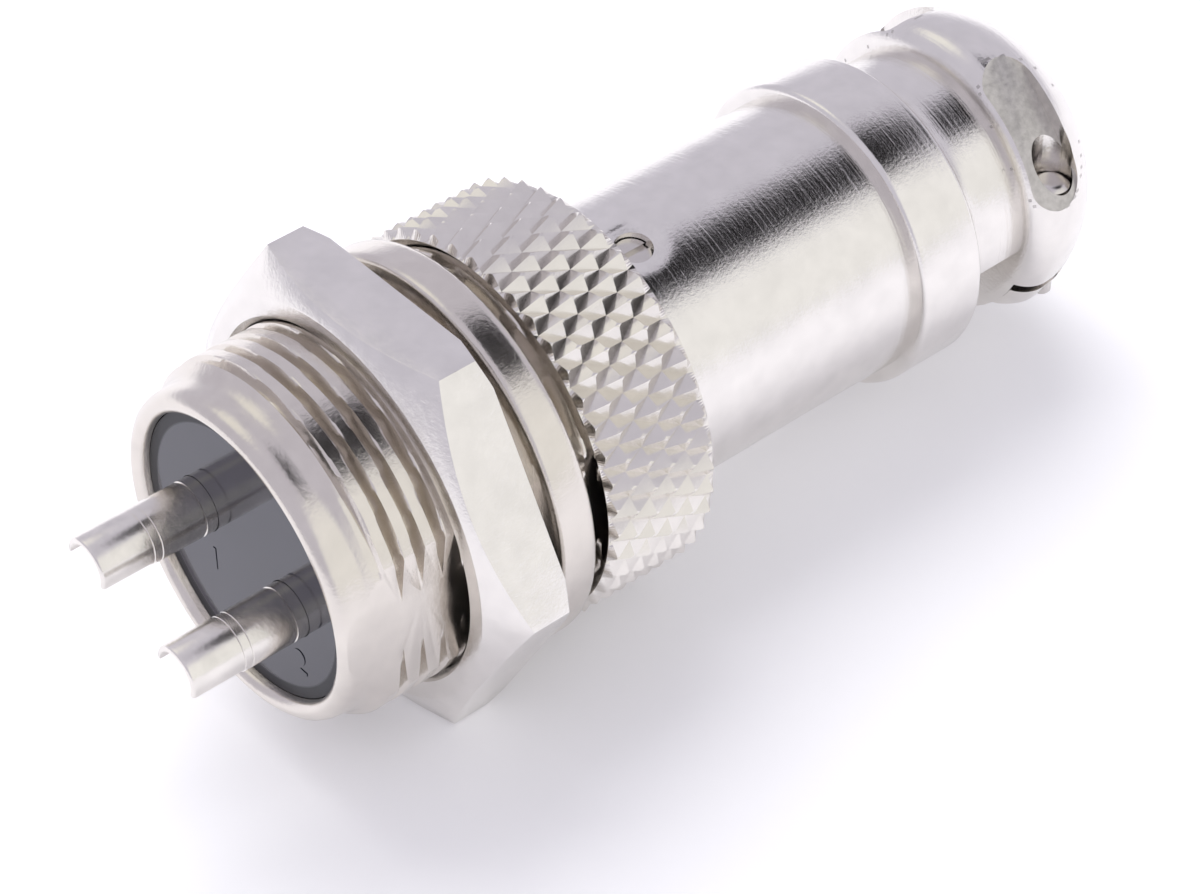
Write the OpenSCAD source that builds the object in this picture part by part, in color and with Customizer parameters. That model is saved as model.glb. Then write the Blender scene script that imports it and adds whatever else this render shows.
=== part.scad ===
// Two-pole circular connector: panel socket with its nut, and the mated plug.
// X runs along the connector axis towards the cable end, Z is up.
// X = 0 is the face of the socket flange that seats on the panel.

/* [Build] */
// which piece to draw

/* [Fits] */
// radial play of threads and sliding fits
fit_gap = 0.05; // [0.02:0.01:0.1]
// radial play round pressed and clipped pieces
seat_gap = 0.03; // [0.02:0.01:0.08]
// axial play between faces that turn on each other
face_gap = 0.08; // [0.03:0.01:0.2]

/* [Socket shell] */
// crest radius of the mounting and coupling thread
thread_r = 8; // [7:0.05:10]
// panel face to the edge of the rear mouth
rear_len = 9.7; // [7:0.1:16]
// smooth lead before the first thread
lead_len = 2.2; // [1:0.1:4]
// radius of the lead at the mouth
lead_r = 7.45; // [7.2:0.05:7.8]
// radius of the mouth edge
mouth_r = 6.85; // [6.7:0.05:7.1]
// depth of the mouth chamfer
mouth_cut = 0.35; // [0.1:0.05:0.6]
// bore that holds the insert
seat_r = 6.5; // [6:0.05:6.6]
// bore that the plug nose enters
nose_bore_r = 6.4; // [6:0.05:6.9]
// inward shoulder between the two bores
shoulder_r = 5.6; // [5:0.05:5.9]
// thickness of that shoulder
shoulder_t = 0.6; // [0.4:0.1:1.5]
// flange proud of the thread
flange_lip = 1.1; // [0.6:0.05:4]
// flange thickness
flange_t = 1.85; // [1:0.05:3]
// length of the coupling thread in front of the flange
barrel_len = 4.55; // [3.5:0.05:8]
// depth of the milled flat below the thread crest
flat_cut = 0.75; // [0.2:0.05:0.9]
// turn of the flat from the top
flat_turn = 84; // [0:1:180]
// width of the keyway in the coupling thread
keyway_w = 1.8; // [1:0.1:3]
// turn of the keyway from the top
keyway_turn = -16; // [-60:1:60]

/* [Insert and pins] */
// recess of the insert face behind the mouth edge
insert_recess = 0.6; // [0.3:0.05:1.5]
// end of the insert's large step behind the panel face
insert_back = 3.3; // [3:0.1:4]
// step of the pin inside the insert
pin_step = 1; // [0.5:0.1:2]
// radius of the pin circle
pin_circle_r = 3.04; // [2.4:0.02:3.4]
// turn of the pin pair from the horizontal
pin_turn = 15; // [0:1:45]
// male pin radius
pin_r = 1; // [0.7:0.05:1.2]
// male pin reach beyond the shoulder
pin_reach = 6.2; // [4:0.1:7]
// solder cup radius
cup_r = 1.25; // [1:0.05:1.4]
// solder cup length behind the insert
cup_len = 5.6; // [3:0.1:8]
// solder cup bore radius
cup_bore_r = 0.92; // [0.6:0.02:1]
// solder cup bore depth
cup_depth = 4; // [2:0.1:5]
// length of the open trough at the cup's end
trough_len = 2.6; // [1:0.1:4]

/* [Panel nut] */
// wall of the nut between thread and flats
nut_wall = 1.5; // [1:0.1:4]
// nut thickness
nut_t = 3.24; // [2:0.1:6]
// stand-off between the flange and the nut
nut_gap = 0.98; // [0.3:0.02:5]
// length of the corner chamfer on the outer face
nut_cut = 1.1; // [0.2:0.05:1.5]
// length of the corner chamfer on the panel side
nut_back_cut = 0.35; // [0.1:0.05:1]

/* [Coupling ring] */
// wall of the ring between thread and knurl tips
ring_wall = 0.97; // [0.8:0.01:3]
// length of the ring
ring_len = 5.65; // [4:0.05:9]
// gap between the flange and the tightened ring
ring_gap = 0.95; // [0.3:0.05:2]
// diamonds round the ring
knurl_n = 44; // [24:2:60]
// rows of half diamonds along the ring
knurl_rows = 5; // [3:1:9]
// depth of the knurl
knurl_depth = 0.45; // [0.1:0.05:0.6]
// plain band beside the knurl, front
ring_band = 0.15; // [0.1:0.05:1]
// plain band beside the knurl, rear
ring_rear_band = 0.35; // [0.1:0.05:1]
// thickness of the lip that holds the ring
ring_lip_t = 0.9; // [0.6:0.05:2]
// width of the chamfer at the thread's mouth
ring_cut = 0.45; // [0.1:0.05:0.6]

/* [Plug shell] */
// reach of the nose past the panel face
nose_reach = 2.1; // [1:0.1:2.4]
// wall of the nose
nose_wall = 1.15; // [0.7:0.05:1.4]
// shoulder that the ring pulls on
collar_r = 7.2; // [6.8:0.05:7.6]
// thickness of that shoulder
collar_t = 1; // [0.6:0.05:2]
// neck inside the ring's lip
neck_r = 6; // [5.8:0.05:6.3]
// radius of the rear thread
joint_r = 5.75; // [5.4:0.05:5.9]
// length of the rear thread
joint_len = 5.6; // [3:0.1:9]
// inward rim at the tip of the nose
rim_t = 0.8; // [0.5:0.05:1.5]
// height of that rim
rim_h = 0.4; // [0.2:0.05:0.6]

/* [Plug insert and contacts] */
// thickness of the plug insert behind its rim seat
plug_insert_t = 6.8; // [5:0.1:8]
// contact sleeve radius
contact_r = 1.45; // [1.3:0.05:1.6]
// contact collar radius
contact_collar_r = 1.8; // [1.6:0.05:2]
// contact collar length
contact_collar_t = 1.75; // [1:0.05:3]
// depth of the contact bore
contact_depth = 6.2; // [5:0.1:7]
// length of the rear solder cup
contact_tail = 7; // [4:0.1:9]
// wire section of the retaining ring
clip_t = 0.7; // [0.4:0.05:1]
// opening of the retaining ring
clip_open = 2.4; // [1:0.1:4]

/* [Rear shell] */
// sleeve radius
sleeve_r = 6.55; // [6.4:0.05:8]
// length of the sleeve
sleeve_len = 13.3; // [9:0.1:24]
// radius of the raised band
band_r = 7.2; // [6.7:0.05:8]
// length of the raised band
band_len = 3.4; // [2:0.1:6]
// radius of the waist behind the band
waist_r = 6; // [5.6:0.05:6.4]
// length of the waist
waist_len = 3.4; // [2:0.1:6]
// radius of the clamp collar
tail_r = 7.25; // [6.8:0.05:8]
// length of the clamp collar
tail_len = 5.55; // [4.6:0.05:6.5]
// rounding of the collar's front edge
tail_front_r = 0.7; // [0.2:0.05:1]
// radius of the domed rear beyond the dome's own length
dome_over = 0.3; // [0.1:0.05:0.6]
// where the dome starts behind the collar's front
dome_pos = 1.25; // [0.8:0.05:1.6]
// wall of the sleeve behind the thread
sleeve_wall = 1.1; // [0.8:0.05:1.6]
// cable hole radius
cable_r = 3.9; // [2.5:0.1:4.2]
// relief of the cable hole inside the clamp
cable_ease = 0.2; // [0.1:0.05:0.3]
// flats under the waist, from the axis
waist_flat_d = 4.8; // [4.5:0.05:5.5]
// turn of those flats from the top
waist_flat_turn = 135; // [120:1:150]
// set screw hole behind the shell's front edge
set_screw_pos = 1.9; // [1.5:0.1:4]
// turn of the set screw from the top
set_screw_turn = 11; // [0:1:90]
// set screw radius
set_screw_r = 0.8; // [0.5:0.05:1]
// radius of the dimple round the set screw
dimple_r = 3.1; // [1.5:0.1:4]
// depth of that dimple
dimple_cut = 0.42; // [0.1:0.02:0.5]
// bite of the set screw into the plug shell
set_bite = 0.3; // [0.1:0.05:0.4]

/* [Cable clamp] */
// clamp screw axes inside the collar's radius
clamp_edge = 1.5; // [1.35:0.05:1.8]
// clamp screws behind the collar's front face
clamp_screw_x = 2.1; // [1.6:0.05:2.4]
// clamp screw radius
clamp_screw_r = 0.75; // [0.6:0.05:0.8]
// clamp screw head radius
clamp_head_r = 1.1; // [1:0.05:1.4]
// clamp screw head height
clamp_head_t = 0.65; // [0.5:0.05:1.2]
// screw tip above the parting plane
clamp_tip = 4.8; // [2:0.1:5.4]
// parting plane below the axis
part_z = 2.7; // [1.5:0.1:3]
// open gap between collar and saddle
clamp_gap = 0.45; // [0.3:0.05:1.2]
// depth of the pockets at their middle
pocket_cut = 1.05; // [0.6:0.05:1.3]
// turn of the pockets from the top
pocket_turn = 48; // [35:1:60]
// pocket width
pocket_w = 2.7; // [2:0.1:3]
// pocket behind the collar's front face, to its middle
pocket_x = 1.65; // [1.4:0.05:2]
// pocket length between the centres of its round ends
pocket_len = 4.6; // [3:0.1:6]
// thickness of the saddle under the screw heads
saddle_seat_t = 0.45; // [0.4:0.05:1.5]
// play between the saddle and the waist
saddle_play = 0.15; // [0.1:0.05:0.4]

/* [Hidden] */
$fn = 96;
over = 0.5;
nickel = [0.8, 0.79, 0.77];
black = [0.05, 0.05, 0.055];
silver = [0.78, 0.76, 0.72];

// socket stations along X
mouth_x = -rear_len;
insert_x = mouth_x + insert_recess;
insert_end_x = -insert_back;
flange_r = thread_r + flange_lip;
flat_d = thread_r - flat_cut;
shoulder_end_x = insert_end_x + shoulder_t;
barrel_x = flange_t + barrel_len;
pin_tip_x = insert_end_x + pin_reach;
insert_r = seat_r - seat_gap;
boss_r = shoulder_r - seat_gap;

// nut stations
nut_x = -nut_gap - nut_t;
nut_corner_r = (thread_r + nut_wall) / cos(30);
nut_slope = tan(30);

// ring stations
ring_x = flange_t + ring_gap;
ring_r = thread_r + ring_wall;
ring_end_x = ring_x + ring_len;
ring_bore_r = thread_r + fit_gap;
lip_x = ring_end_x - ring_lip_t;
knurl_x = ring_x + ring_band;
knurl_len = ring_len - ring_band - ring_rear_band;

// plug shell stations
nose_r = nose_bore_r - fit_gap;
nose_in_r = nose_r - nose_wall;
nose_x = -nose_reach;
collar_end_x = lip_x - face_gap;
collar_x = collar_end_x - collar_t;
shell_x = ring_end_x + face_gap;
joint_end_x = shell_x + joint_len;
rim_r = nose_in_r - rim_h;
key_w = keyway_w - 4 * fit_gap;
key_r = thread_r - 0.3;

// plug insert stations
plug_seat_x = nose_x + rim_t;
plug_insert_end_x = plug_seat_x + plug_insert_t;
plug_insert_r = nose_in_r - seat_gap;
plug_boss_r = rim_r - seat_gap;
contact_x = plug_seat_x + seat_gap;
contact_bore_r = pin_r + fit_gap;
contact_end_x = plug_insert_end_x + contact_tail;
clip_x = plug_insert_end_x + seat_gap;
clip_groove_r = nose_in_r + 0.35;

// rear shell stations
band_x = shell_x + sleeve_len;
waist_x = band_x + band_len;
tail_x = waist_x + waist_len;
tail_end_x = tail_x + tail_len;
joint_bore_r = joint_r + fit_gap;
sleeve_in_r = sleeve_r - sleeve_wall;
set_x = shell_x + set_screw_pos;
screw_x = tail_x + clamp_screw_x;
clamp_screw_y = tail_r - clamp_edge;
pocket_d = tail_r - pocket_cut;
clamp_bore_r = cable_r + cable_ease;
saddle_x = tail_x + saddle_play;
saddle_seat_z = part_z + clamp_gap + saddle_seat_t;

// half section of the clamp collar
dome_x = tail_x + dome_pos;
dome_r = tail_len - dome_pos + dome_over;
dome_in_r = tail_r - dome_r;
dome_end = acos((tail_end_x - dome_x) / dome_r);
tail_section = concat(
  [[0, tail_x]],
  [for (a = [0:15:90]) [tail_r - tail_front_r * (1 - sin(a)), tail_x + tail_front_r * (1 - cos(a))]],
  [for (k = [0:8]) let (a = 90 - (90 - dome_end) * k / 8) [dome_in_r + dome_r * sin(a), dome_x + dome_r * cos(a)]],
  [[0, tail_end_x]]);

// revolve a profile of [radius, x] points about the connector axis
module spin(points) {
  rotate([0, 90, 0]) rotate_extrude() polygon(points);
}

// plain disc or shaft along X
module shaft(r, x0, x1) {
  translate([x0, 0, 0]) rotate([0, 90, 0]) cylinder(r = r, h = x1 - x0);
}

// place children at a turn from the top, positive towards -Y
module at_turn(a) {
  rotate([a, 0, 0]) children();
}

module place_contact(side) {
  rotate([pin_turn, 0, 0]) translate([0, side * pin_circle_r, 0]) children();
}

module socket_body() {
  spin([[mouth_r, mouth_x], [mouth_r + 0.25, mouth_x], [lead_r, mouth_x + 0.35],
        [lead_r, mouth_x + lead_len * 0.55], [thread_r, mouth_x + lead_len],
        [thread_r, 0], [flange_r - 0.25, 0], [flange_r, 0.25],
        [flange_r, flange_t - 0.35], [flange_r - 0.35, flange_t], [thread_r, flange_t],
        [thread_r, barrel_x - 0.4], [thread_r - 0.4, barrel_x], [nose_bore_r, barrel_x],
        [nose_bore_r, shoulder_end_x], [shoulder_r, shoulder_end_x],
        [shoulder_r, insert_end_x], [seat_r, insert_end_x],
        [seat_r, mouth_x + mouth_cut]]);
}

module thread_flat(x0, x1) {
  at_turn(flat_turn)
    translate([x0, -thread_r, flat_d]) cube([x1 - x0, 2 * thread_r, thread_r]);
}

module socket_shell() {
  color(nickel) difference() {
    socket_body();
    thread_flat(mouth_x - over, 0);
    thread_flat(flange_t, barrel_x + over);
    at_turn(keyway_turn)
      translate([flange_t, -keyway_w / 2, 0]) cube([barrel_len + over, keyway_w, flange_r]);
  }
}

module socket_insert() {
  color(black) difference() {
    union() {
      shaft(insert_r, insert_x, insert_end_x - seat_gap);
      shaft(boss_r, (insert_x + insert_end_x) / 2, shoulder_end_x);
    }
    for (side = [-1, 1]) place_contact(side) {
      shaft(cup_r + seat_gap, insert_x - over, insert_end_x - pin_step);
      shaft(pin_r + seat_gap, insert_x, shoulder_end_x + over);
    }
  }
}

// bore of a solder cup, dir 1 where it opens towards -X, with its trough open below
module cup_cut(x_tip, dir) {
  a = min(x_tip, x_tip + dir * cup_depth);
  shaft(cup_bore_r, a - (dir > 0 ? over : 0), a + cup_depth + (dir > 0 ? 0 : over));
  b = min(x_tip, x_tip + dir * trough_len);
  translate([b - (dir > 0 ? over : 0), -cup_r - over, -cup_r - over])
    cube([trough_len + over, 2 * cup_r + 2 * over, cup_r + over - cup_bore_r * 0.2]);
}

module pin(side) {
  cup_x = insert_x - cup_len;
  color(silver) place_contact(side) difference() {
    union() {
      shaft(cup_r, cup_x, insert_end_x - pin_step - seat_gap);
      shaft(pin_r, cup_x + cup_len, pin_tip_x - pin_r * 0.6);
      translate([pin_tip_x - pin_r * 0.6, 0, 0]) rotate([0, 90, 0])
        cylinder(r1 = pin_r, r2 = pin_r * 0.4, h = pin_r * 0.6);
    }
    cup_cut(cup_x, 1);
  }
}

module panel_nut() {
  nut_end_x = nut_x + nut_t;
  color(nickel) difference() {
    intersection() {
      translate([nut_x, 0, 0]) rotate([30, 0, 0]) rotate([0, 90, 0])
        cylinder(r = nut_corner_r, h = nut_t, $fn = 6);
      spin([[0, nut_x], [nut_corner_r - nut_cut / nut_slope, nut_x],
            [nut_corner_r, nut_x + nut_cut], [nut_corner_r, nut_end_x - nut_back_cut],
            [nut_corner_r - nut_back_cut / nut_slope, nut_end_x], [0, nut_end_x]]);
    }
    shaft(thread_r + fit_gap, nut_x - over, nut_end_x + over);
  }
}

module plug_shell() {
  color(nickel) difference() {
    union() {
      spin([[rim_r, nose_x], [nose_r - 0.3, nose_x], [nose_r, nose_x + 0.3],
            [nose_r, collar_x], [collar_r, collar_x], [collar_r, collar_end_x],
            [neck_r, collar_end_x], [neck_r, shell_x - 0.05], [joint_r, shell_x - 0.05],
            [joint_r, joint_end_x - 0.3], [joint_r - 0.3, joint_end_x],
            [nose_in_r, joint_end_x], [nose_in_r, plug_seat_x], [rim_r, plug_seat_x]]);
      at_turn(keyway_turn) translate([flange_t + 0.6, -key_w / 2, nose_r - 0.4])
        cube([collar_x - flange_t - 0.3, key_w, key_r - nose_r + 0.4]);
    }
    shaft(clip_groove_r, clip_x, clip_x + clip_t + seat_gap);
    at_turn(set_screw_turn) translate([set_x, 0, joint_r - set_bite])
      cylinder(r = set_screw_r + fit_gap, h = set_bite + over);
  }
}

module plug_insert() {
  color(black) difference() {
    union() {
      shaft(plug_insert_r, plug_seat_x + seat_gap, plug_insert_end_x);
      shaft(plug_boss_r, nose_x + 0.2, plug_seat_x + 1);
    }
    for (side = [-1, 1]) place_contact(side) {
      shaft(contact_bore_r + 0.2, nose_x - over, plug_seat_x + 1);
      shaft(contact_r + seat_gap, plug_seat_x, plug_insert_end_x);
      shaft(contact_collar_r + seat_gap, plug_insert_end_x - contact_collar_t - seat_gap,
            plug_insert_end_x + over);
    }
  }
}

module contact(side) {
  color(silver) place_contact(side) difference() {
    union() {
      shaft(contact_r, contact_x, plug_insert_end_x);
      shaft(contact_collar_r, plug_insert_end_x - contact_collar_t, plug_insert_end_x);
      shaft(cup_r, plug_insert_end_x - 1, contact_end_x);
    }
    shaft(contact_bore_r, contact_x - over, contact_x + contact_depth);
    cup_cut(contact_end_x, -1);
  }
}

module insert_ring() {
  color(nickel) difference() {
    shaft(clip_groove_r - seat_gap, clip_x + seat_gap / 2, clip_x + clip_t);
    shaft(nose_in_r - 0.5, clip_x - over, clip_x + clip_t + over);
    translate([clip_x - over, -clip_open / 2, -clip_groove_r - over])
      cube([clip_t + 2 * over, clip_open, clip_groove_r]);
  }
}

// skin of raised diamonds: a lattice of low crossings and high tips
module knurl_skin() {
  n = 2 * knurl_n;
  step = knurl_len / knurl_rows;
  low = ring_r - knurl_depth;
  end_low = ring_r - knurl_depth * 0.85;
  ends = [[ring_x, low], for (i = [0:knurl_rows]) [knurl_x + i * step, ring_r],
          [ring_end_x, low]];
  rows = len(ends);
  pts = [for (i = [0:rows - 1]) for (j = [0:n - 1])
          let (edge = i == 0 || i == rows - 1,
               near = i == 1 || i == rows - 2,
               r = edge ? ends[i][1] : (i + j) % 2 == 0 ? low : near ? end_low + 0.1 : ring_r)
          [ends[i][0], r * sin(j * 360 / n), r * cos(j * 360 / n)]];
  mids = [[ring_x, 0, 0], [ring_end_x, 0, 0]];
  skin = [for (i = [0:rows - 2]) for (j = [0:n - 1]) for (k = [0, 1])
           let (a = i * n + j, b = i * n + (j + 1) % n, c = a + n, d = b + n)
           (i + j) % 2 == 0 ? (k == 0 ? [a, b, d] : [a, d, c])
                            : (k == 0 ? [a, b, c] : [b, d, c])];
  caps = [for (j = [0:n - 1]) [rows * n, (j + 1) % n, j],
          for (j = [0:n - 1]) [rows * n + 1, (rows - 1) * n + j, (rows - 1) * n + (j + 1) % n]];
  polyhedron(points = concat(pts, mids), faces = concat(skin, caps));
}

module coupling_ring() {
  color(nickel) difference() {
    knurl_skin();
    shaft(ring_bore_r, ring_x - over, lip_x);
    shaft(neck_r + fit_gap, lip_x - over, ring_end_x + over);
    spin([[0, ring_x - over], [ring_bore_r + ring_cut, ring_x - over],
          [ring_bore_r + ring_cut, ring_x], [ring_bore_r, ring_x + ring_cut],
          [0, ring_x + ring_cut]]);
  }
}

module rear_body() {
  spin([[joint_bore_r, shell_x], [sleeve_r - 0.15, shell_x], [sleeve_r, shell_x + 0.15],
        [sleeve_r, band_x], [band_r - 0.15, band_x], [band_r, band_x + 0.2],
        [band_r, waist_x - 0.2], [band_r - 0.2, waist_x], [waist_r + 0.35, waist_x + 0.3],
        [waist_r, waist_x + 1], [waist_r, tail_x + 0.1], [clamp_bore_r, tail_x + 0.1],
        [clamp_bore_r, tail_x], [cable_r, tail_x], [cable_r, waist_x + 0.6], [sleeve_in_r, waist_x - 1],
        [sleeve_in_r, joint_end_x + 0.6], [joint_bore_r, joint_end_x + 0.3]]);
}

// part of the clamp collar between two levels, with the cable hole through it
module tail_part(x0, z0, z1) {
  difference() {
    intersection() {
      spin(tail_section);
      translate([x0, -tail_r - over, z0])
        cube([tail_end_x - x0 + over, 2 * tail_r + 2 * over, z1 - z0]);
    }
    shaft(clamp_bore_r, tail_x - over, tail_end_x + over);
  }
}

module pocket(side) {
  at_turn(side * pocket_turn) translate([tail_x + pocket_x, 0, pocket_d])
    linear_extrude(height = tail_r) {
      square([pocket_w, pocket_len], center = true);
      for (end = [-1, 1]) translate([0, end * pocket_len / 2]) circle(r = pocket_w / 2);
    }
}

module rear_shell() {
  color(nickel) difference() {
    union() {
      rear_body();
      tail_part(tail_x, -part_z, tail_r + over);
    }
    for (side = [-1, 1]) {
      pocket(side);
      translate([screw_x, -side * clamp_screw_y, -tail_r])
        cylinder(r = clamp_screw_r + fit_gap, h = 2 * tail_r);
      at_turn(side * waist_flat_turn) translate([waist_x + 1, -waist_r, waist_flat_d])
        cube([waist_len - 1, 2 * waist_r, waist_r]);
    }
    at_turn(set_screw_turn) translate([set_x, 0, 0]) {
      cylinder(r = set_screw_r + fit_gap, h = sleeve_r + over);
      translate([0, 0, sleeve_r - dimple_cut])
        cylinder(r1 = set_screw_r, r2 = dimple_r + 0.8, h = dimple_cut * 1.35);
    }
  }
}

module set_screw() {
  top_z = sleeve_r - dimple_cut - 0.1;
  tip_z = joint_r - set_bite + fit_gap;
  color(silver) at_turn(set_screw_turn) difference() {
    translate([set_x, 0, tip_z]) cylinder(r = set_screw_r, h = top_z - tip_z);
    translate([set_x - set_screw_r - over, -0.15, top_z - 0.2])
      cube([2 * set_screw_r + 2 * over, 0.3, 0.2 + over]);
  }
}

module clamp_saddle() {
  color(nickel) difference() {
    translate([0, 0, -clamp_gap]) tail_part(saddle_x, -tail_r - over, -part_z);
    for (side = [-1, 1]) translate([screw_x, side * clamp_screw_y, 0]) {
      translate([0, 0, -2 * tail_r]) cylinder(r = clamp_screw_r + 2 * fit_gap, h = 2 * tail_r);
      translate([0, 0, -2 * tail_r]) cylinder(r = clamp_head_r + 0.2, h = 2 * tail_r - saddle_seat_z);
    }
  }
}

module clamp_screw(side) {
  head_z = -saddle_seat_z - clamp_head_t - seat_gap;
  color(silver) translate([screw_x, side * clamp_screw_y, 0]) difference() {
    union() {
      translate([0, 0, head_z]) cylinder(r = clamp_head_r, h = clamp_head_t);
      translate([0, 0, head_z]) cylinder(r = clamp_screw_r,
        h = clamp_head_t + saddle_seat_z + clamp_tip - part_z);
    }
    translate([-clamp_head_r - over, -0.2, head_z - over])
      cube([2 * clamp_head_r + 2 * over, 0.4, over + 0.5]);
  }
}

socket_shell();
socket_insert();
pin(1);  // pin_1
pin(-1);  // pin_2
panel_nut();
plug_shell();
plug_insert();
contact(1);  // contact_1
contact(-1);  // contact_2
insert_ring();
coupling_ring();
rear_shell();
set_screw();
clamp_saddle();
clamp_screw(-1);  // clamp_screw_1
clamp_screw(1);  // clamp_screw_2
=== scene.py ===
import math

import bmesh
import bpy
import numpy as np
from mathutils import Matrix, Vector


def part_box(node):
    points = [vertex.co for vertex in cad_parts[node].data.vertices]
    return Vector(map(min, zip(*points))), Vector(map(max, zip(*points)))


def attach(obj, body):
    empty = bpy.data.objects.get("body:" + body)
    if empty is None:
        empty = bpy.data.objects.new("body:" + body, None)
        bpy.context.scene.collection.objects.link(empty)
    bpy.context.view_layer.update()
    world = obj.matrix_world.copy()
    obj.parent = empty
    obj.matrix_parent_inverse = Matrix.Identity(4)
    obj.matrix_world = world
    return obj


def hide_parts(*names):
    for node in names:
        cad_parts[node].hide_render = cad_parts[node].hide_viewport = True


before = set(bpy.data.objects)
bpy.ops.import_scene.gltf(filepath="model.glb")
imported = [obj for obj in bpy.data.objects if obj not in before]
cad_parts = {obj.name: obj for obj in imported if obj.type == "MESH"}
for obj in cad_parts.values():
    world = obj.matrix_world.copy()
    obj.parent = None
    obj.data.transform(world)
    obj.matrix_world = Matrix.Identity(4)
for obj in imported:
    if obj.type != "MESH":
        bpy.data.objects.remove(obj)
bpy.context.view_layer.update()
MM = 0.001


# ---------------------------------------------------------------- mesh tools
def make(name, verts, faces, smooth=True):
    """A mesh object from points in millimetres."""
    me = bpy.data.meshes.new(name)
    me.from_pydata((np.asarray(verts, float) * MM).tolist(), [], [tuple(int(k) for k in f) for f in faces])
    me.validate()
    me.update()
    me.polygons.foreach_set("use_smooth", [smooth] * len(me.polygons))
    ob = bpy.data.objects.new(name, me)
    bpy.context.scene.collection.objects.link(ob)
    return ob


def polar(x, r, turn):
    """A point at station x and radius r, turned from the top towards -Y."""
    return (x, -r * math.sin(turn), r * math.cos(turn))


def ring_grid(name, rows, n):
    """A closed skin through rows of n points each."""
    verts = [p for row in rows for p in row]
    m = len(rows)
    faces = []
    for i in range(m):
        a, b = i * n, ((i + 1) % m) * n
        for j in range(n):
            k = (j + 1) % n
            faces.append((a + j, a + k, b + k, b + j))
    return make(name, verts, faces)


def spun(name, section, n=192, limit=None, smooth_angle=30):
    """A closed revolve of [x, r] points about the connector axis; limit(x, r, turn) may trim a radius."""
    rows = []
    for x, r in section:
        row = []
        for j in range(n):
            t = 2 * math.pi * j / n
            rr = limit(x, r, t) if limit else r
            row.append(polar(x, rr, t))
        rows.append(row)
    ob = ring_grid(name, rows, n)
    split_sharp(ob, smooth_angle)
    return ob


def split_sharp(ob, angle):
    """Marks the edges that are sharper than the angle, so the rest shade smoothly."""
    ob.data.set_sharp_from_angle(angle=math.radians(angle))


def arc(cx, cr, rad, a0, a1, n=6):
    """Points [x, r] on an arc: 0 degrees points to +x, 90 outwards."""
    return [(cx + rad * math.cos(math.radians(a0 + (a1 - a0) * k / n)),
             cr + rad * math.sin(math.radians(a0 + (a1 - a0) * k / n))) for k in range(n + 1)]


def turned_point(p, turn):
    """A point turned about the connector axis, positive from the top towards -Y."""
    c, s = math.cos(turn), math.sin(turn)
    return (p[0], p[1] * c - p[2] * s, p[1] * s + p[2] * c)


def straight(a, b, h):
    """Places a prism along Z."""
    return (a, b, h)


def prism(name, outline, lo, hi, place):
    """A straight prism over a closed outline of (a, b) points; place(a, b, h) gives its corners."""
    n = len(outline)
    verts = [place(a, b, lo) for a, b in outline] + [place(a, b, hi) for a, b in outline]
    faces = [(j, (j + 1) % n, n + (j + 1) % n, n + j) for j in range(n)]
    faces += [tuple(range(n)), tuple(range(2 * n - 1, n - 1, -1))]
    return make(name, verts, faces)


def circle(a, b, r, n=64):
    """Outline of a circle."""
    return [(a + r * math.cos(2 * math.pi * k / n), b + r * math.sin(2 * math.pi * k / n)) for k in range(n)]


def box_outline(a0, a1, b0, b1):
    """Outline of a rectangle."""
    return [(a0, b0), (a1, b0), (a1, b1), (a0, b1)]


def outward(ob):
    """Turns all faces outwards."""
    bm = bmesh.new()
    bm.from_mesh(ob.data)
    bmesh.ops.recalc_face_normals(bm, faces=bm.faces)
    bm.to_mesh(ob.data)
    bm.free()


def applied(ob):
    """Keeps the result of the object's modifiers as its mesh."""
    deps = bpy.context.evaluated_depsgraph_get()
    me = bpy.data.meshes.new_from_object(ob.evaluated_get(deps))
    ob.modifiers.clear()
    ob.data = me


def carve(ob, tools, operation="DIFFERENCE"):
    """Cuts or intersects an object with closed tools, and removes the tools."""
    outward(ob)
    for tool in tools:
        outward(tool)
        mod = ob.modifiers.new("carve", "BOOLEAN")
        mod.operation = operation
        mod.solver = "EXACT"
        mod.object = tool
        applied(ob)
        bpy.data.objects.remove(tool)
    bm = bmesh.new()
    bm.from_mesh(ob.data)
    bmesh.ops.remove_doubles(bm, verts=bm.verts, dist=0.02 * MM)
    bmesh.ops.dissolve_degenerate(bm, edges=bm.edges, dist=0.01 * MM)
    bm.to_mesh(ob.data)
    bm.free()
    return ob


def soften(ob, width, limit=35, segments=2):
    """Small roundings along the sharp edges."""
    mod = ob.modifiers.new("edge", "BEVEL")
    mod.width = width * MM
    mod.segments = segments
    mod.limit_method = "ANGLE"
    mod.angle_limit = math.radians(limit)
    mod.use_clamp_overlap = True
    applied(ob)
    split_sharp(ob, limit)


def stands_for(ob, body, node):
    """The piece rides on a body, in place of a CAD node."""
    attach(ob, body)
    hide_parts(node)


# ---------------------------------------------------------------- materials
def shader(name):
    """A new material with its node tree and its Principled shader."""
    m = bpy.data.materials.new(name)
    m.use_nodes = True
    nt = m.node_tree
    return m, nt, nt.nodes["Principled BSDF"]


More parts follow.
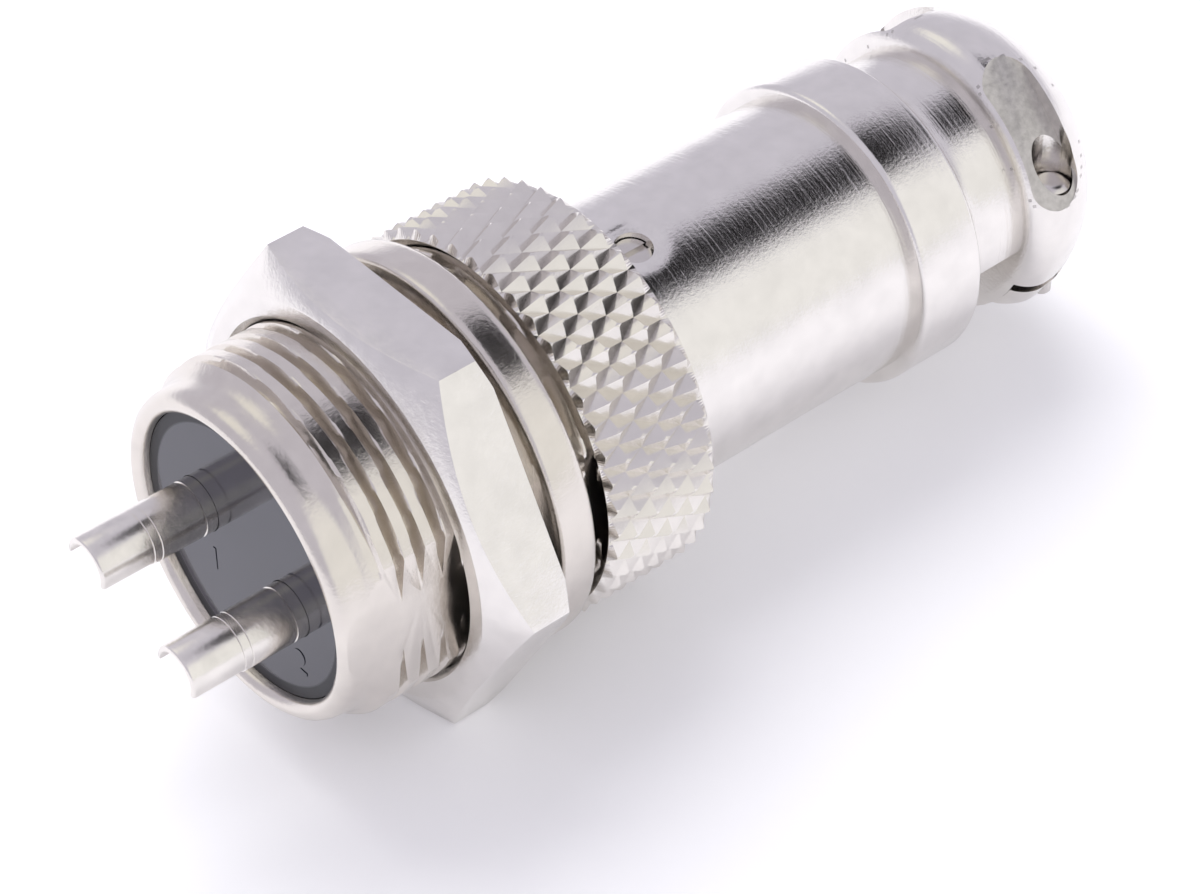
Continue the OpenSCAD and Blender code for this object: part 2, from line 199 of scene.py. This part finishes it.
def metal(name, colour, rough, grain=0.0, grain_scale=(40, 900, 900), pit=0.0, pit_scale=2600.0, tint=0.04,
          blotch=900.0):
    """Plated metal: colour drift, roughness drift, turning marks and fine pits."""
    m, nt, bs = shader(name)
    N, L = nt.nodes.new, nt.links.new
    bs.inputs["Metallic"].default_value = 1.0
    co = N("ShaderNodeTexCoord")
    drift = N("ShaderNodeTexNoise")
    drift.inputs["Scale"].default_value = blotch
    drift.inputs["Detail"].default_value = 4.0
    L(co.outputs["Object"], drift.inputs["Vector"])
    ramp = N("ShaderNodeValToRGB")
    ramp.color_ramp.elements[0].position = 0.3
    ramp.color_ramp.elements[1].position = 0.7
    ramp.color_ramp.elements[0].color = tuple(c * (1 - tint) for c in colour) + (1,)
    ramp.color_ramp.elements[1].color = tuple(min(1.0, c * (1 + tint)) for c in colour) + (1,)
    L(drift.outputs["Fac"], ramp.inputs["Fac"])
    L(ramp.outputs["Color"], bs.inputs["Base Color"])
    rr = N("ShaderNodeMapRange")
    rr.inputs["To Min"].default_value = rough * 0.8
    rr.inputs["To Max"].default_value = rough * 1.25
    L(drift.outputs["Fac"], rr.inputs["Value"])
    L(rr.outputs["Result"], bs.inputs["Roughness"])
    last = None
    if grain:
        mp = N("ShaderNodeMapping")
        mp.inputs["Scale"].default_value = grain_scale
        L(co.outputs["Object"], mp.inputs["Vector"])
        gn = N("ShaderNodeTexNoise")
        gn.inputs["Scale"].default_value = 1.0
        gn.inputs["Detail"].default_value = 3.0
        L(mp.outputs["Vector"], gn.inputs["Vector"])
        bp = N("ShaderNodeBump")
        bp.inputs["Strength"].default_value = grain
        bp.inputs["Distance"].default_value = 0.00002
        L(gn.outputs["Fac"], bp.inputs["Height"])
        last = bp
    if pit:
        pn = N("ShaderNodeTexNoise")
        pn.inputs["Scale"].default_value = pit_scale
        pn.inputs["Detail"].default_value = 5.0
        pn.inputs["Roughness"].default_value = 0.65
        L(co.outputs["Object"], pn.inputs["Vector"])
        b2 = N("ShaderNodeBump")
        b2.inputs["Strength"].default_value = pit
        b2.inputs["Distance"].default_value = 0.00003
        L(pn.outputs["Fac"], b2.inputs["Height"])
        if last:
            L(last.outputs["Normal"], b2.inputs["Normal"])
        last = b2
    if last:
        L(last.outputs["Normal"], bs.inputs["Normal"])
    return m


NICKEL = (0.80, 0.775, 0.745)
m_nickel = metal("nickel_plate", NICKEL, 0.20, pit=0.7, pit_scale=3600.0)
m_thread = metal("nickel_thread", (0.72, 0.68, 0.63), 0.20, pit=0.45, pit_scale=3600.0)
m_turned = metal("nickel_turned", NICKEL, 0.15, grain=0.7, grain_scale=(6500, 200, 200), pit=0.4, pit_scale=6500.0)
m_knurl = metal("nickel_knurl", (0.76, 0.73, 0.69), 0.20, pit=0.2)
# darker nickel for the tail's pocket floors: its dark colour is painted shade in the pockets; its roughness, pits and
# blotches are surface texture
m_pocket_shade = metal("nickel_pocket_shade", (0.56, 0.54, 0.52), 0.42, pit=1.0, pit_scale=2400.0, tint=0.16, blotch=3000.0)
m_silver = metal("silver_plate", (0.80, 0.77, 0.73), 0.22, pit=0.3, tint=0.08)
m_steel = metal("steel_screw", (0.70, 0.67, 0.64), 0.25, pit=0.3)


def resin():
    """Glossy black moulded resin with a dull rim."""
    m, nt, bs = shader("black_resin")
    N, L = nt.nodes.new, nt.links.new
    co = N("ShaderNodeTexCoord")
    n1 = N("ShaderNodeTexNoise")
    n1.inputs["Scale"].default_value = 700.0
    n1.inputs["Detail"].default_value = 5.0
    L(co.outputs["Object"], n1.inputs["Vector"])
    ramp = N("ShaderNodeValToRGB")
    ramp.color_ramp.elements[0].color = (0.008, 0.008, 0.014, 1)
    ramp.color_ramp.elements[1].color = (0.022, 0.022, 0.036, 1)
    L(n1.outputs["Fac"], ramp.inputs["Fac"])
    # the moulded rim is rougher and darker than the face
    sep = N("ShaderNodeSeparateXYZ")
    L(co.outputs["Object"], sep.inputs["Vector"])
    flat = N("ShaderNodeCombineXYZ")
    L(sep.outputs["Y"], flat.inputs["Y"])
    L(sep.outputs["Z"], flat.inputs["Z"])
    dist = N("ShaderNodeVectorMath")
    dist.operation = "LENGTH"
    L(flat.outputs["Vector"], dist.inputs[0])
    rim = N("ShaderNodeMapRange")
    rim.inputs["From Min"].default_value = 0.00586
    rim.inputs["From Max"].default_value = 0.00600
    L(dist.outputs["Value"], rim.inputs["Value"])
    dark = N("ShaderNodeMix")
    dark.data_type = "RGBA"
    L(rim.outputs["Result"], dark.inputs["Factor"])
    L(ramp.outputs["Color"], dark.inputs["A"])
    dark.inputs["B"].default_value = (0.004, 0.004, 0.004, 1)
    L(dark.outputs["Result"], bs.inputs["Base Color"])
    rough = N("ShaderNodeMapRange")
    rough.inputs["To Min"].default_value = 0.09
    rough.inputs["To Max"].default_value = 0.55
    L(rim.outputs["Result"], rough.inputs["Value"])
    L(rough.outputs["Result"], bs.inputs["Roughness"])
    bs.inputs["IOR"].default_value = 1.5
    bs.inputs["Specular Tint"].default_value = (0.84, 0.86, 1.0, 1)
    bs.inputs["Coat Weight"].default_value = 0.15
    bs.inputs["Coat Roughness"].default_value = 0.05
    b = N("ShaderNodeBump")
    b.inputs["Strength"].default_value = 0.08
    b.inputs["Distance"].default_value = 0.00003
    L(n1.outputs["Fac"], b.inputs["Height"])
    L(b.outputs["Normal"], bs.inputs["Normal"])
    return m


m_resin = resin()


def dress(ob, mat):
    """Gives every face of the object one material."""
    ob.data.materials.clear()
    ob.data.materials.append(mat)
    for p in ob.data.polygons:
        p.material_index = 0


# ---------------------------------------------------------------- CAD nodes
FINISH = {
    "socket_shell": m_thread, "socket_insert": m_resin, "pin_1": m_silver, "pin_2": m_silver,
    "panel_nut": m_nickel, "plug_shell": m_turned, "plug_insert": m_resin, "contact_1": m_silver,
    "contact_2": m_silver, "insert_ring": m_steel, "coupling_ring": m_knurl, "rear_shell": m_turned,
    "set_screw": m_steel, "clamp_saddle": m_turned, "clamp_screw_1": m_steel, "clamp_screw_2": m_steel,
}
for node, mat in FINISH.items():
    dress(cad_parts[node], mat)


# ---------------------------------------------------------------- socket shell with its cut thread
THREAD_R, ROOT_R, PITCH = 8.0, 7.36, 1.0167
REAR, BARREL_X = 9.7, 6.4
LEAD_R, LEAD_LEN = 7.3, 1.75
FLANGE_T, FLANGE_R = 1.85, 9.1
PLUG_BORE_R, STOP_R, SEAT_R = 6.4, 5.6, 6.5
STOP_FRONT, STOP_REAR = -3.3, -2.7
FLAT_D, FLAT_TURN = 7.25, math.radians(90)
PHASE = -7.58
GROOVE_HALF, GROOVE_STEEP = 0.24, 1.4   # half width of the groove in pitches, slope of its sides


def thread_depth(x, t):
    """0 on the crest, 1 in the groove, for the helical thread."""
    u = ((x - PHASE) / PITCH + t / (2 * math.pi)) % 1.0
    d = abs(u - round(u))
    s = max(0.0, 1 - d / GROOVE_HALF)
    return min(1.0, s * GROOVE_STEEP)


def shell_limit(x, r, t):
    """Cuts the thread outside the flange, and the flat in front of it."""
    if r <= LEAD_R or 0.0 <= x <= FLANGE_T + 0.01:
        return r
    rr = r
    if -REAR + LEAD_LEN < x < -0.02 or x > FLANGE_T + 0.05:
        run_in = min(1.0, max(0.0, (x + REAR - LEAD_LEN) / 0.6)) if x < 0 else 1.0
        rr = min(r, THREAD_R - (THREAD_R - ROOT_R) * thread_depth(x, t) * run_in)
    c = math.cos(t - FLAT_TURN)
    if c > 0.5 and x > 0:
        rr = min(rr, FLAT_D / c)
    return rr


def build_socket_shell():
    """The socket's threaded shell: nose, thread, flange, barrel, bore and the flat in front of the flange."""
    outer = [(-REAR, 6.85), (-REAR, 6.95), (-9.62, 7.12), (-9.45, 7.3), (-9.2, 7.41), (-8.9, 7.45),
             (-8.5, 7.46), (-8.2, 7.55), (-7.95, 7.75), (-7.75, 7.92), (-7.6, THREAD_R)]
    x = -7.55
    while x < -0.02:
        outer.append((x, THREAD_R))
        x += 0.055
    outer += [(-0.01, THREAD_R), (0.0, 8.85), (0.06, 9.0), (0.2, 9.08), (0.4, FLANGE_R), (1.35, FLANGE_R),
              (1.55, 9.07), (1.72, 8.97), (1.82, 8.8), (FLANGE_T, 8.6), (FLANGE_T, THREAD_R)]
    x = 1.91
    while x < BARREL_X - 0.4:
        outer.append((x, THREAD_R))
        x += 0.12
    outer += [(BARREL_X - 0.4, THREAD_R), (BARREL_X, 7.6), (BARREL_X, PLUG_BORE_R), (STOP_REAR, PLUG_BORE_R),
              (STOP_REAR, STOP_R), (STOP_FRONT, STOP_R), (STOP_FRONT, SEAT_R), (-9.35, SEAT_R), (-9.5, 6.56),
              (-9.6, 6.66), (-9.67, 6.76)]
    ob = spun("socket_shell_cut", outer, 252, shell_limit, 45)
    carve(ob, [prism("flat", box_outline(-REAR - 1, -0.004, -8, 8), FLAT_D, 10,
                     lambda a, b, h: turned_point((a, b, h), FLAT_TURN))])
    split_sharp(ob, 45)
    dress(ob, m_thread)
    return ob


shell = build_socket_shell()
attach(shell, "socket")
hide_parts("socket_shell")


# ---------------------------------------------------------------- coupling ring with its diamond knurl
def build_ring():
    """The coupling ring: crossing rows of raised diamonds outside, and a plain stepped bore."""
    x0, x1, r_tip, depth = 2.8, 8.45, 8.97, 0.46
    neck_x, neck_r, bore_r = 7.55, 6.05, 8.05
    n_dia, rows, sub = 44, 5, 6
    k0, klen = 2.95, 5.15
    step = klen / rows
    n = 2 * n_dia * sub
    xs = [x0] + [k0 + step * i / sub for i in range(0, rows * sub + 1)] + [x1]

    def height(u, v):
        a, b = (u + v) / 2, (u - v) / 2
        h1 = abs(a - round(a)) * 2
        h2 = abs(b - round(b)) * 2
        h = min(h1, h2)
        return min(h, 0.93) / 0.93, h1 < h2

    grid = []
    for i, x in enumerate(xs):
        row = []
        v = (x - k0) / step
        for j in range(n):
            u = j / sub
            h = height(u, v + 1)[0]
            r = r_tip - depth * (1 - h)
            if i == 0 or i == len(xs) - 1:
                r = r_tip - depth * 0.98
            row.append(polar(x, r, 2 * math.pi * j / n))
        grid.append(row)
    verts = [p for row in grid for p in row]
    faces = []
    for i in range(len(xs) - 1):
        for j in range(n):
            k = (j + 1) % n
            a, b, c, d = i * n + j, i * n + k, (i + 1) * n + k, (i + 1) * n + j
            vm = ((xs[i] + xs[i + 1]) / 2 - k0) / step + 1
            fam = height((j + 0.5) / sub, vm)[1]
            faces += [(a, b, d), (b, c, d)] if fam else [(a, b, c), (a, c, d)]
    # bore side, from the rear face inwards to the front face
    inner = [(x1, neck_r), (neck_x, neck_r), (neck_x, bore_r), (3.25, bore_r), (x0, 8.5)]
    base = len(verts)
    prev = (len(xs) - 1) * n
    for x, r in inner:
        verts += [polar(x, r, 2 * math.pi * j / n) for j in range(n)]
        for j in range(n):
            k = (j + 1) % n
            faces.append((prev + j, prev + k, base + k, base + j))
        prev = base
        base += n
    for j in range(n):
        k = (j + 1) % n
        faces.append((prev + j, prev + k, k, j))
    ob = make("coupling_ring_knurl", verts, faces, smooth=False)
    dress(ob, m_knurl)
    return ob


ring = build_ring()
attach(ring, "ring")
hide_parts("coupling_ring")


# ---------------------------------------------------------------- rear shell: sleeve, bead, waist and tail
SHELL_X, BAND_X, WAIST_X, TAIL_X, TAIL_END = 8.53, 21.83, 25.23, 28.63, 34.18
SLEEVE_R, BAND_R, WAIST_R, TAIL_R = 6.55, 7.2, 6.0, 7.25
CABLE_R, CLAMP_BORE_R, JOINT_R = 3.9, 4.1, 5.8
FRONT_R, DOME_R, DOME_IN = 1.2, 4.6, 1.25
PART_Z, SADDLE_TOP = -2.7, -3.15
POCKET_D, POCKET_TURN = 6.2, math.radians(48)
POCKET_X, POCKET_END_R, POCKET_HALF = 1.65, 1.35, 2.3
WAIST_FLAT_D, WAIST_FLAT_TURN = 4.8, math.radians(135)
STRAP_MID_Z, STRAP_R = 11.7, 16.9
SCREW_X, SCREW_Y, SCREW_HOLE_R, STRAP_HOLE_R = 30.73, 5.75, 0.95, 0.52
SET_X, SET_TURN, SET_HOLE_R = 10.43, math.radians(11), 0.85
DIMPLE_DEPTH, DIMPLE_R2, DIMPLE_END = 0.26, 3.4, 14   # R2 is the radius squared
JOINT_END, STEP_END, SLEEVE_BORE_R = 14.43, 14.73, 5.45


def tail_outline():
    """Section of the domed tail, from its front face over the collar to the rear end."""
    end = math.degrees(math.acos((TAIL_END - TAIL_X - DOME_IN) / DOME_R))
    return (arc(TAIL_X + FRONT_R, TAIL_R - FRONT_R, FRONT_R, 180, 90, 12)
            + arc(TAIL_X + DOME_IN, TAIL_R - DOME_R, DOME_R, 90, end, 20))


def dimple(x, r, t):
    """The shallow dimple round the set screw, in the sleeve."""
    if r < SLEEVE_R - 0.01 or x > DIMPLE_END:
        return r
    d2 = (x - SET_X) ** 2 + (SLEEVE_R * (t - SET_TURN)) ** 2
    return r - DIMPLE_DEPTH * max(0.0, 1 - d2 / DIMPLE_R2) ** 2


def build_rear_shell():
    """Sleeve, bead, waist and tail as one casting, with its pockets, screw holes and flats."""
    section = [(SHELL_X, JOINT_R)] + arc(SHELL_X + 0.15, SLEEVE_R - 0.15, 0.15, 180, 90, 4)
    section += [(8.8 + 0.2 * k, SLEEVE_R) for k in range(20)] + [(14.2, SLEEVE_R), (18, SLEEVE_R), (BAND_X, SLEEVE_R)]
    section += arc(BAND_X + 0.28, BAND_R - 0.28, 0.28, 180, 90, 6) + [(23.5, BAND_R)]
    section += arc(WAIST_X - 0.22, BAND_R - 0.22, 0.22, 90, 15, 5)
    section += [(WAIST_X + 0.03, 6.7), (WAIST_X + 0.12, 6.5), (WAIST_X + 0.35, 6.28), (WAIST_X + 0.7, 6.1),
                (WAIST_X + 1.1, 6.02), (WAIST_X + 1.5, WAIST_R), (TAIL_X - 0.8, WAIST_R), (TAIL_X, WAIST_R)]
    section += tail_outline()
    section += [(TAIL_END, CLAMP_BORE_R), (TAIL_X, CLAMP_BORE_R), (TAIL_X, CABLE_R), (WAIST_X + 0.6, CABLE_R),
                (WAIST_X - 1, SLEEVE_BORE_R), (STEP_END, SLEEVE_BORE_R), (JOINT_END, JOINT_R)]
    ob = spun("rear_shell_cast", section, 288, dimple)
    tools = [prism("low", box_outline(TAIL_X + 0.1, TAIL_END + 1, -9, 9), -9, PART_Z, straight)]
    for side in (-1, 1):
        turn = side * POCKET_TURN
        ends = [(TAIL_X + POCKET_X + POCKET_END_R * math.sin(math.radians(a)),
                 end * POCKET_HALF + POCKET_END_R * math.cos(math.radians(a)))
                for end, span in ((1, range(90, -91, -9)), (-1, range(270, 89, -9))) for a in span]
        tools.append(prism("pocket", ends, POCKET_D, 9, lambda a, b, h, t=turn: turned_point((a, b, h), t)))
        tools.append(prism("hole", circle(SCREW_X, side * SCREW_Y, SCREW_HOLE_R, 48), -9, 9, straight))
        flat = box_outline(WAIST_X + 1, TAIL_X, -WAIST_R, WAIST_R)
        tools.append(prism("flat", flat, WAIST_FLAT_D, 9,
                           lambda a, b, h, t=side * WAIST_FLAT_TURN: turned_point((a, b, h), t)))
    tools.append(prism("set_hole", circle(SET_X, 0, SET_HOLE_R, 48), 3, 9,
                       lambda a, b, h: turned_point((a, b, h), SET_TURN)))
    carve(ob, tools)
    ob.data.materials.clear()
    ob.data.materials.append(m_turned)
    # the pocket floors get the darker nickel, which is painted shade in the pockets
    ob.data.materials.append(m_pocket_shade)
    for p in ob.data.polygons:
        y, z = p.center[1] / MM, p.center[2] / MM
        on_floor = any(abs(-y * math.sin(s * POCKET_TURN) + z * math.cos(s * POCKET_TURN) - POCKET_D) < 0.01
                       for s in (-1, 1))
        p.material_index = 1 if on_floor and p.center[0] / MM > TAIL_X else 0
        p.use_smooth = True
    split_sharp(ob, 30)
    return ob


stands_for(build_rear_shell(), "plug", "rear_shell")


def build_saddle():
    """The loose strap: the tail's section between a flat top and an arched bottom."""
    section = [(TAIL_X + 0.15, CLAMP_BORE_R), (TAIL_X + 0.15, 6.5)]
    section += [p for p in tail_outline() if p[0] > TAIL_X + 0.16]
    section += [(TAIL_END, CLAMP_BORE_R)]
    ob = spun("clamp_strap", section, 192)
    bottom = [(y, STRAP_MID_Z - math.sqrt(STRAP_R ** 2 - y * y)) for y in np.linspace(-8, 8, 41)]
    strap = prism("strap", bottom + [(8, SADDLE_TOP), (-8, SADDLE_TOP)], 28, 35, lambda a, b, h: (h, a, b))
    carve(ob, [strap], "INTERSECT")
    carve(ob, [prism("hole", circle(SCREW_X, side * SCREW_Y, STRAP_HOLE_R, 32), -9, 0, straight)
               for side in (-1, 1)])
    soften(ob, 0.07)
    dress(ob, m_turned)
    return ob


stands_for(build_saddle(), "saddle", "clamp_saddle")


def build_clamp_screw(name, y):
    """A threaded screw along Z, thinner where it passes the strap, slotted below."""
    n, pitch = 48, 0.4
    rows = [(-4.12, 0.36), (-4.1, 0.44), (-4.05, 0.47), (-3.0, 0.47), (-2.74, 0.47), (-2.66, 0.74)]
    z = -2.6
    while z < 1.86:
        rows.append((z, None))
        z += 0.05
    rows += [(1.9, 0.76), (2.0, 0.66), (2.06, 0.55), (2.09, 0.4), (2.1, 0.2)]
    verts, faces = [], []
    for z, r in rows:
        for j in range(n):
            t = 2 * math.pi * j / n
            u = (z / pitch + j / n) % 1.0
            rr = r if r else 0.86 - 0.13 * min(1.0, abs(u - 0.5) * 2.4)
            verts.append((SCREW_X + rr * math.cos(t), y + rr * math.sin(t), z))
    for i in range(len(rows) - 1):
        for j in range(n):
            k = (j + 1) % n
            faces.append((i * n + j, i * n + k, (i + 1) * n + k, (i + 1) * n + j))
    faces += [tuple(range(n - 1, -1, -1)), tuple((len(rows) - 1) * n + j for j in range(n))]
    ob = make(name, verts, faces)
    carve(ob, [prism("slot", box_outline(SCREW_X - 1, SCREW_X + 1, y - 0.1, y + 0.1), -5, -3.85, straight)])
    split_sharp(ob, 40)
    dress(ob, m_steel)
    return ob


stands_for(build_clamp_screw("clamp_screw_near", -SCREW_Y), "screw_1", "clamp_screw_1")
stands_for(build_clamp_screw("clamp_screw_far", SCREW_Y), "screw_2", "clamp_screw_2")


# ---------------------------------------------------------------- panel nut
def build_nut():
    """A hexagon nut, chamfered in front and less at the back."""
    x0, x1, corner, cut, back, bore = -4.22, -0.98, 9.5 / math.cos(math.pi / 6), 1.1, 0.35, 8.05
    k = math.tan(math.pi / 6)
    ob = spun("panel_nut_hex", [(x0, bore + 0.25), (x0, corner - cut / k), (x0 + cut, corner), (x1 - back, corner),
                                (x1, corner - back / k), (x1, bore + 0.25), (x1 - 0.25, bore), (x0 + 0.25, bore)], 240)
    hexagon = [(corner * math.sin(math.radians(30 + 60 * i)), corner * math.cos(math.radians(30 + 60 * i)))
               for i in range(6)]
    carve(ob, [prism("hex", hexagon, x0 - 1, x1 + 1, lambda a, b, h: (h, a, b))], "INTERSECT")
    soften(ob, 0.09, 18)
    dress(ob, m_nickel)
    return ob


stands_for(build_nut(), "nut", "panel_nut")


# ---------------------------------------------------------------- solder-cup pins
PIN_CIRCLE_R, PIN_TURN = 3.04, math.radians(15)
PIN_R, TIP_R, LINE_R, CUP_R = 1.25, 1.0, 1.22, 1.02


def build_pin(name, side):
    """A contact pin with its solder cup towards -X and three fine turned lines."""
    cy, cz = side * PIN_CIRCLE_R * math.cos(PIN_TURN), side * PIN_CIRCLE_R * math.sin(PIN_TURN)
    lo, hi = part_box("pin_1")
    cup, tip = lo[0] / MM, hi[0] / MM
    body = [(cup, 1.16), (cup + 0.05, 1.23), (cup + 0.1, PIN_R), (-12.24, PIN_R), (-12.21, LINE_R), (-12.18, PIN_R),
            (-11.84, PIN_R), (-11.81, LINE_R), (-11.78, PIN_R), (-9.74, PIN_R), (-9.71, 1.2), (-9.66, 1.2),
            (-9.63, PIN_R), (-4.32, PIN_R), (-4.3, TIP_R), (tip - 0.6, TIP_R), (tip - 0.35, 0.88),
            (tip - 0.12, 0.66), (tip, 0.4)]
    n = 72
    verts, faces = [], []
    for x, r in body:
        verts += [(x, cy + r * math.sin(2 * math.pi * j / n), cz + r * math.cos(2 * math.pi * j / n)) for j in range(n)]
    for i in range(len(body) - 1):
        faces += [(i * n + j, i * n + (j + 1) % n, (i + 1) * n + (j + 1) % n, (i + 1) * n + j) for j in range(n)]
    faces += [tuple(range(n - 1, -1, -1)), tuple((len(body) - 1) * n + j for j in range(n))]
    ob = make(name, verts, faces)

    def seat(a, b, h):
        return turned_point((a, side * PIN_CIRCLE_R + b, h), PIN_TURN)

    bore = prism("bore", circle(0, 0, CUP_R, 48), cup - 1, cup + 4,
                 lambda a, b, h: turned_point((h, side * PIN_CIRCLE_R + a, b), PIN_TURN))
    trough = prism("trough", box_outline(cup - 1, cup + 2.6, -2, 2), -2, -0.18, seat)
    carve(ob, [bore, trough])
    split_sharp(ob, 40)
    dress(ob, m_silver)
    return ob


stands_for(build_pin("solder_pin_1", 1), "socket", "pin_1")
stands_for(build_pin("solder_pin_2", -1), "socket", "pin_2")


# ---------------------------------------------------------------- pole numerals on the insert's face
FACE_X, NUMERAL_SIZE, NUMERAL_H = -9.1, 1.7, 0.03


def numeral(text, y, z):
    """A raised figure on the insert's face, read from -X."""
    cu = bpy.data.curves.new("numeral_" + text, "FONT")
    cu.body = text
    cu.size = NUMERAL_SIZE * MM
    cu.extrude = NUMERAL_H * MM
    cu.align_x = "CENTER"
    ob = bpy.data.objects.new("numeral_source", cu)
    bpy.context.scene.collection.objects.link(ob)
    deps = bpy.context.evaluated_depsgraph_get()
    me = bpy.data.meshes.new_from_object(ob.evaluated_get(deps))
    bpy.data.objects.remove(ob)
    me.transform(Matrix(((0, 0, -1, FACE_X * MM), (-1, 0, 0, y * MM), (0, 1, 0, z * MM), (0, 0, 0, 1))))
    out = bpy.data.objects.new("numeral_" + text, me)
    bpy.context.scene.collection.objects.link(out)
    dress(out, m_resin)
    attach(out, "socket")


numeral("1", 2.2, -2.3)
numeral("2", -3.4, -4.0)


# ---------------------------------------------------------------- stage: floor, world, lamps, camera
FLOOR_X, FLOOR_Z, FLOOR_SLOPE = -1.3, -9.52, 0.0564


def floor_z(x):
    """Height of the plane that the solids rest on."""
    return FLOOR_Z + (x - FLOOR_X) * FLOOR_SLOPE


def build_floor():
    """A wide plain sheet of pale paper."""
    s = 600
    v = [(-s, -s, floor_z(-s)), (s, -s, floor_z(s)), (s, s, floor_z(s)), (-s, s, floor_z(-s))]
    ob = make("floor", v, [(0, 1, 2, 3)], smooth=False)
    m, nt, bs = shader("paper")
    bs.inputs["Roughness"].default_value = 0.6
    bs.inputs["Emission Color"].default_value = (0.95, 0.94, 1.0, 1)
    bs.inputs["Emission Strength"].default_value = 0.16
    N, L = nt.nodes.new, nt.links.new
    co = N("ShaderNodeTexCoord")
    nz = N("ShaderNodeTexNoise")
    nz.inputs["Scale"].default_value = 8.0
    L(co.outputs["Object"], nz.inputs["Vector"])
    ramp = N("ShaderNodeValToRGB")
    ramp.color_ramp.elements[0].color = (0.90, 0.90, 0.91, 1)
    ramp.color_ramp.elements[1].color = (0.94, 0.94, 0.95, 1)
    L(nz.outputs["Fac"], ramp.inputs["Fac"])
    L(ramp.outputs["Color"], bs.inputs["Base Color"])
    dress(ob, m)


build_floor()


def build_world():
    """Studio light as soft windows and one dark card, with white behind it for the camera."""
    w = bpy.data.worlds.new("studio")
    bpy.context.scene.world = w
    w.use_nodes = True
    nt = w.node_tree
    nt.nodes.clear()
    N, L = nt.nodes.new, nt.links.new
    out = N("ShaderNodeOutputWorld")
    bg = N("ShaderNodeBackground")
    co = N("ShaderNodeTexCoord")

    def dot(v):
        n = N("ShaderNodeVectorMath")
        n.operation = "DOT_PRODUCT"
        d = Vector(v).normalized()
        n.inputs[1].default_value = d
        L(co.outputs["Generated"], n.inputs[0])
        return n.outputs["Value"]

    def window(v, lo, hi):
        n = N("ShaderNodeMapRange")
        n.interpolation_type = "SMOOTHSTEP"
        n.inputs["From Min"].default_value = lo
        n.inputs["From Max"].default_value = hi
        L(dot(v), n.inputs["Value"])
        return n.outputs["Result"]

    def over(base, fac, colour):
        n = N("ShaderNodeMix")
        n.data_type = "RGBA"
        L(fac, n.inputs["Factor"])
        if isinstance(base, tuple):
            n.inputs["A"].default_value = base + (1,)
        else:
            L(base, n.inputs["A"])
        n.inputs["B"].default_value = colour + (1,)
        return n.outputs["Result"]

    c = (0.68, 0.66, 0.75)
    c = over(c, window((0.30, -0.92, 0.12), 0.55, 0.80), (1.02, 1.01, 1.0))
    c = over(c, window((-0.16, 0.57, 0.80), 0.93, 0.985), (1.02, 1.0, 0.96))
    c = over(c, window((0.45, -0.16, 0.86), 0.935, 0.972), (0.012, 0.011, 0.012))
    c = over(c, window((0, 0, -1), 0.0, 0.15), (0.80, 0.77, 0.74))
    c = over(c, window((-0.60, 0.45, -0.66), 0.90, 0.96), (0.30, 0.22, 0.18))
    L(c, bg.inputs["Color"])
    white = N("ShaderNodeBackground")
    white.inputs["Color"].default_value = (1, 1, 1, 1)
    lp = N("ShaderNodeLightPath")
    mix = N("ShaderNodeMixShader")
    L(lp.outputs["Is Camera Ray"], mix.inputs["Fac"])
    L(bg.outputs["Background"], mix.inputs[1])
    L(white.outputs["Background"], mix.inputs[2])
    L(mix.outputs["Shader"], out.inputs["Surface"])


build_world()


def area(name, pos, target, size, energy):
    """A round soft lamp that isn't mirrored in the metal."""
    d = bpy.data.lights.new(name, "AREA")
    d.shape = "DISK"
    d.size = size
    d.energy = energy
    ob = bpy.data.objects.new(name, d)
    bpy.context.scene.collection.objects.link(ob)
    ob.location = Vector(pos)
    ob.visible_glossy = False
    ob.rotation_euler = (Vector(target) - Vector(pos)).to_track_quat("-Z", "Y").to_euler()


area("key", (0.10, 0.35, 0.45), (0.01, 0, 0), 0.6, 2.6)


def build_camera():
    """The camera, at the photograph's viewing angle."""
    cam = bpy.data.cameras.new("camera")
    cam.sensor_fit = "HORIZONTAL"
    cam.sensor_width = 36.0
    cam.lens = 111.9534
    cam.clip_start = 0.005
    cam.clip_end = 20.0
    ob = bpy.data.objects.new("camera", cam)
    bpy.context.scene.collection.objects.link(ob)
    view = Vector((0.478469, 0.566268, -0.671124)).normalized()
    right = Vector((0.760683, -0.649101, -0.005367)).normalized()
    up = right.cross(view).normalized()
    m = Matrix((right, up, -view)).transposed().to_4x4()
    m.translation = Vector((-0.06789117, -0.09166953, 0.10346791))
    ob.matrix_world = m
    bpy.context.scene.camera = ob


build_camera()
bpy.context.scene.view_settings.view_transform = "Standard"
